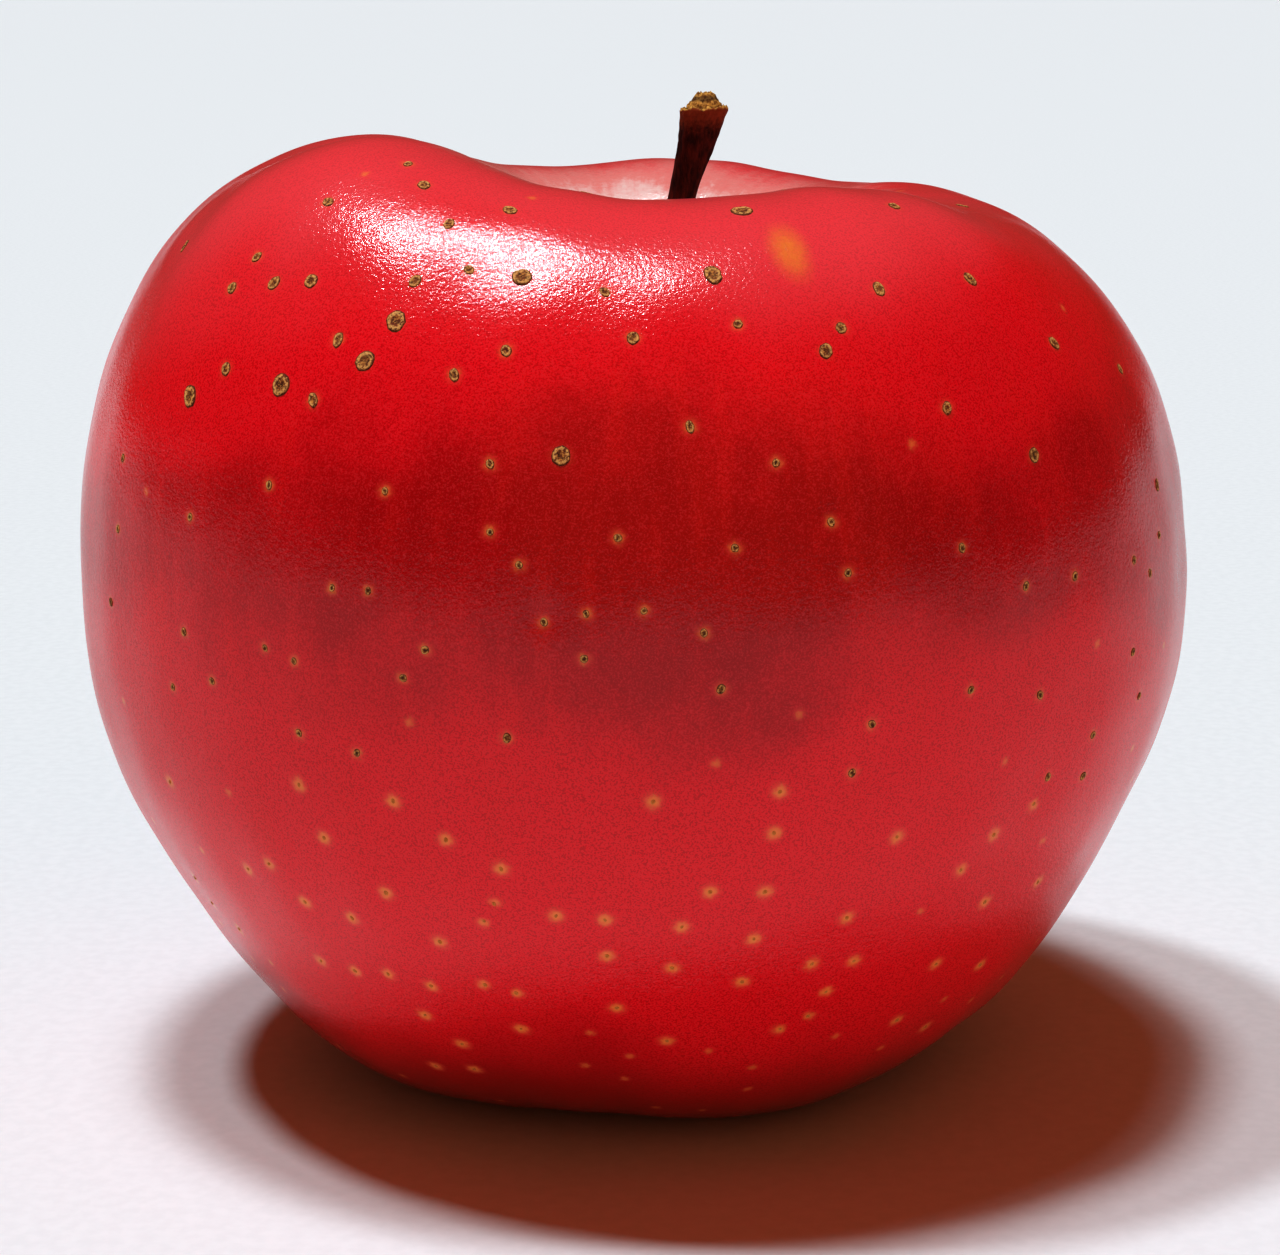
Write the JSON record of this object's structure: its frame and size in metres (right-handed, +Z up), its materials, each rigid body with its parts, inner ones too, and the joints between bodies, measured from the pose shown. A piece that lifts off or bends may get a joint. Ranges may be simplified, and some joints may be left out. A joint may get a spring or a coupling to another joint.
{
  "type": "red apple",
  "caption": "Whole red apple standing on its flat-pressed feet, with a deep stem cavity, a short leaning woody stem and a dried calyx in the basin underneath.",
  "frame": {"origin": "on the surface that the apple stands on, under the middle of the fruit's outline", "axes": "+Z up through the stem cavity, -Y towards the side that shows best, +X to the right of that side"},
  "size_m": [0.085, 0.0808, 0.0759],
  "materials": {
    "apple_skin": "waxy crimson skin with corky spots, glossy over a fine pebbled grain",
    "stem_bark": "dry dark bark with a pale ragged scar at the top",
    "dried_sepal": "dry, brown and slightly downy",
    "dried_stamen": "dry and dark brown"
  },
  "bodies": {
    "root": {"fruit": "apple_skin", "stem": "stem_bark", "calyx": "dried_sepal", "stamens": "dried_stamen"}
  },
  "joints": []
}
